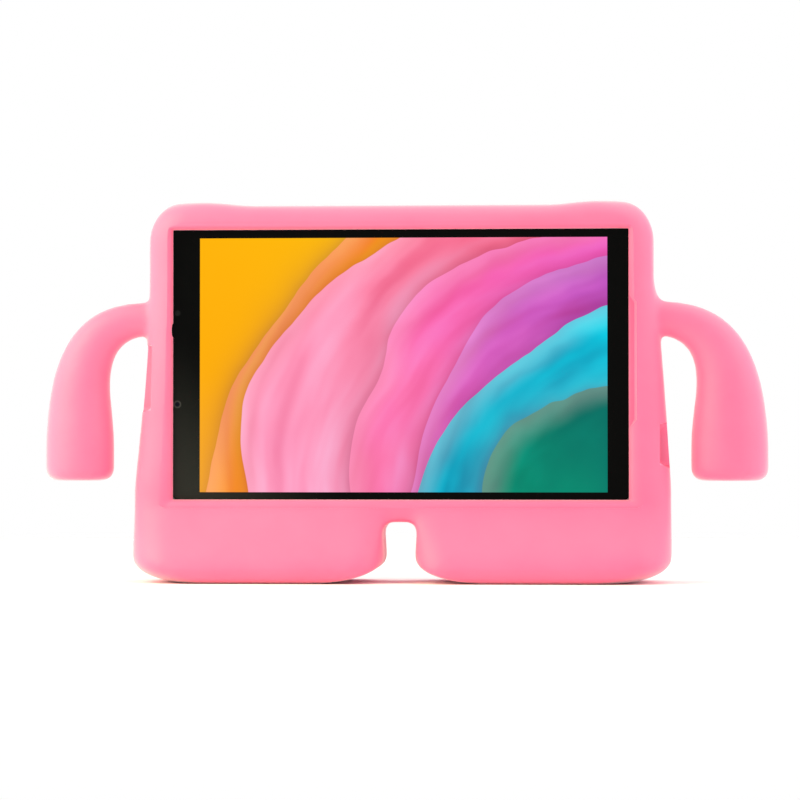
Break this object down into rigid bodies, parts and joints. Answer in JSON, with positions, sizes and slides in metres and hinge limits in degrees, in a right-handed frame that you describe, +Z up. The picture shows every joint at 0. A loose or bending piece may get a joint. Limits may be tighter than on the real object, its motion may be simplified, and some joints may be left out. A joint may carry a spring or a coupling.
{
  "type": "kids tablet case",
  "caption": "Soft foam case with bent side handles and a two-footed stand, holding a small tablet upright behind a thin lip round its screen.",
  "frame": {"origin": "on the ground, midway between the two feet and midway through their depth", "axes": "+Z up, +X to the right when facing the screen, -Y out of the screen"},
  "size_m": [0.3054, 0.0518, 0.1606],
  "materials": {
    "pink_foam": "matte closed cell foam",
    "black_glass": "polished",
    "lit_panel": "lit display",
    "cast_frame": "cast",
    "grey_shell": "anodised",
    "battery_foil": "foil pouch",
    "lead_film": "polyimide film",
    "board_green": "solder mask",
    "tinned_steel": "tinned",
    "black_plastic": "moulded",
    "lens_glass": "polished"
  },
  "bodies": {
    "case": {"foam_case": "pink_foam", "cover_glass": "black_glass", "display_panel": "lit_panel", "mid_frame": "cast_frame", "rear_cover": "grey_shell", "battery": "battery_foil", "battery_lead": "lead_film", "main_board": "board_green", "board_screw_1": "tinned_steel", "board_screw_2": "tinned_steel", "board_screw_3": "tinned_steel", "board_screw_4": "tinned_steel", "shield_can": "tinned_steel", "display_flex": "lead_film", "sub_board": "board_green", "board_link": "lead_film", "usb_socket": "tinned_steel", "headphone_socket": "black_plastic", "microphone": "tinned_steel", "speaker_lower": "black_plastic", "speaker_upper": "black_plastic", "front_camera": "black_plastic", "light_sensor": "black_plastic", "rear_camera": "black_plastic", "rear_camera_window": "lens_glass", "power_switch": "tinned_steel", "volume_up_switch": "tinned_steel", "volume_down_switch": "tinned_steel", "card_tray": "grey_shell"},
    "power_button": {"power_key": "grey_shell"},
    "volume_button": {"volume_key": "grey_shell"}
  },
  "joints": [
    {"name": "power_press", "type": "slide", "parent": "case", "child": "power_button", "axis": [0, 0, -1], "range_m": [0, 0.0003], "stiffness_N_per_m": 1500},
    {"name": "volume_press", "type": "slide", "parent": "case", "child": "volume_button", "axis": [0, 0, -1], "range_m": [0, 0.0003], "stiffness_N_per_m": 1500}
  ]
}
